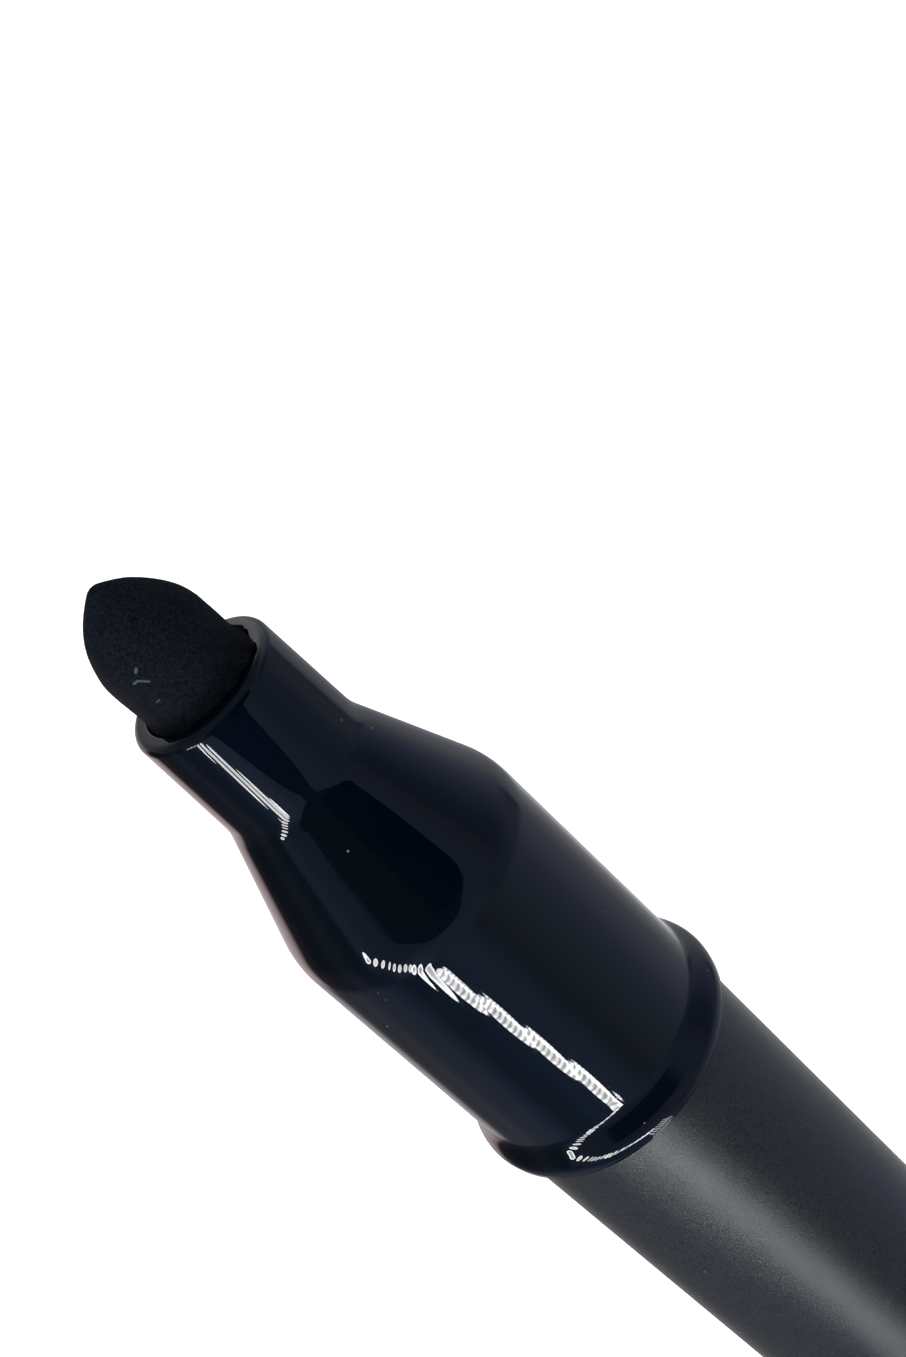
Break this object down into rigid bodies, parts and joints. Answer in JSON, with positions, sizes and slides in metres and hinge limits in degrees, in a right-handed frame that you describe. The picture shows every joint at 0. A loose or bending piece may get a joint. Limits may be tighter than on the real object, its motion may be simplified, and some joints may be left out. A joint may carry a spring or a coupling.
{
  "type": "twist-up cushion-tip eyebrow pen",
  "caption": "Upright black eyebrow pen with a pointed sponge tip, glossy stepped nose, satin barrel, twist-up screw feed and its pull-off cap posted on the tail.",
  "frame": {"origin": "middle of the cap's flat closed end, on which the pen stands", "axes": "+Z along the pen's axis towards the sponge tip; the screw's flats face +Y and -Y"},
  "size_m": [0.0132, 0.0132, 0.1378],
  "materials": {
    "satin_black": "satin, soft-touch, faintly speckled",
    "gloss_black": "high gloss",
    "black_sponge": "matt, fine open grain",
    "white_plastic": "plain moulded",
    "grey_plastic": "plain moulded",
    "clear_plastic": "clear",
    "seal_rubber": "matt",
    "brow_tint": "liquid"
  },
  "bodies": {
    "cap": {"cap_shell": "satin_black", "cap_liner": "white_plastic"},
    "barrel": {"barrel_shell": "satin_black", "tail_bush": "grey_plastic", "ratchet_ring": "grey_plastic", "screw_guide": "white_plastic", "cartridge": "clear_plastic", "tint_charge": "brow_tint", "cartridge_plug": "white_plastic", "plug_o_ring": "seal_rubber", "feed_tube": "clear_plastic", "nose_cone": "gloss_black", "tip_holder": "white_plastic", "sponge_tip": "black_sponge"},
    "knob": {"knob_shell": "satin_black", "knob_end_plug": "gloss_black", "knob_drive": "white_plastic", "pawl_ring": "grey_plastic"},
    "screw": {"lead_screw": "white_plastic"},
    "piston": {"piston": "white_plastic"}
  },
  "joints": [
    {"name": "cap_pull", "type": "slide", "parent": "cap", "child": "barrel", "axis": [0, 0, 1], "range_m": [0, 0.024]},
    {"name": "knob_turn", "type": "hinge", "parent": "barrel", "child": "knob", "pos_m": [0, 0, 0.01593], "axis": [0, 0, 1], "range_deg": [0, 2880]},
    {"name": "screw_feed", "type": "slide", "parent": "knob", "child": "screw", "axis": [0, 0, 1], "range_m": [0, 0.022]},
    {"name": "piston_feed", "type": "slide", "parent": "barrel", "child": "piston", "axis": [0, 0, 1], "range_m": [0, 0.022], "deforming": ["tint_charge"]}
  ],
  "couplings": [
    {"joint": "screw_feed", "follows": "knob_turn", "m_per_rad": 0.00043767},
    {"joint": "piston_feed", "follows": "knob_turn", "m_per_rad": 0.00043767}
  ]
}
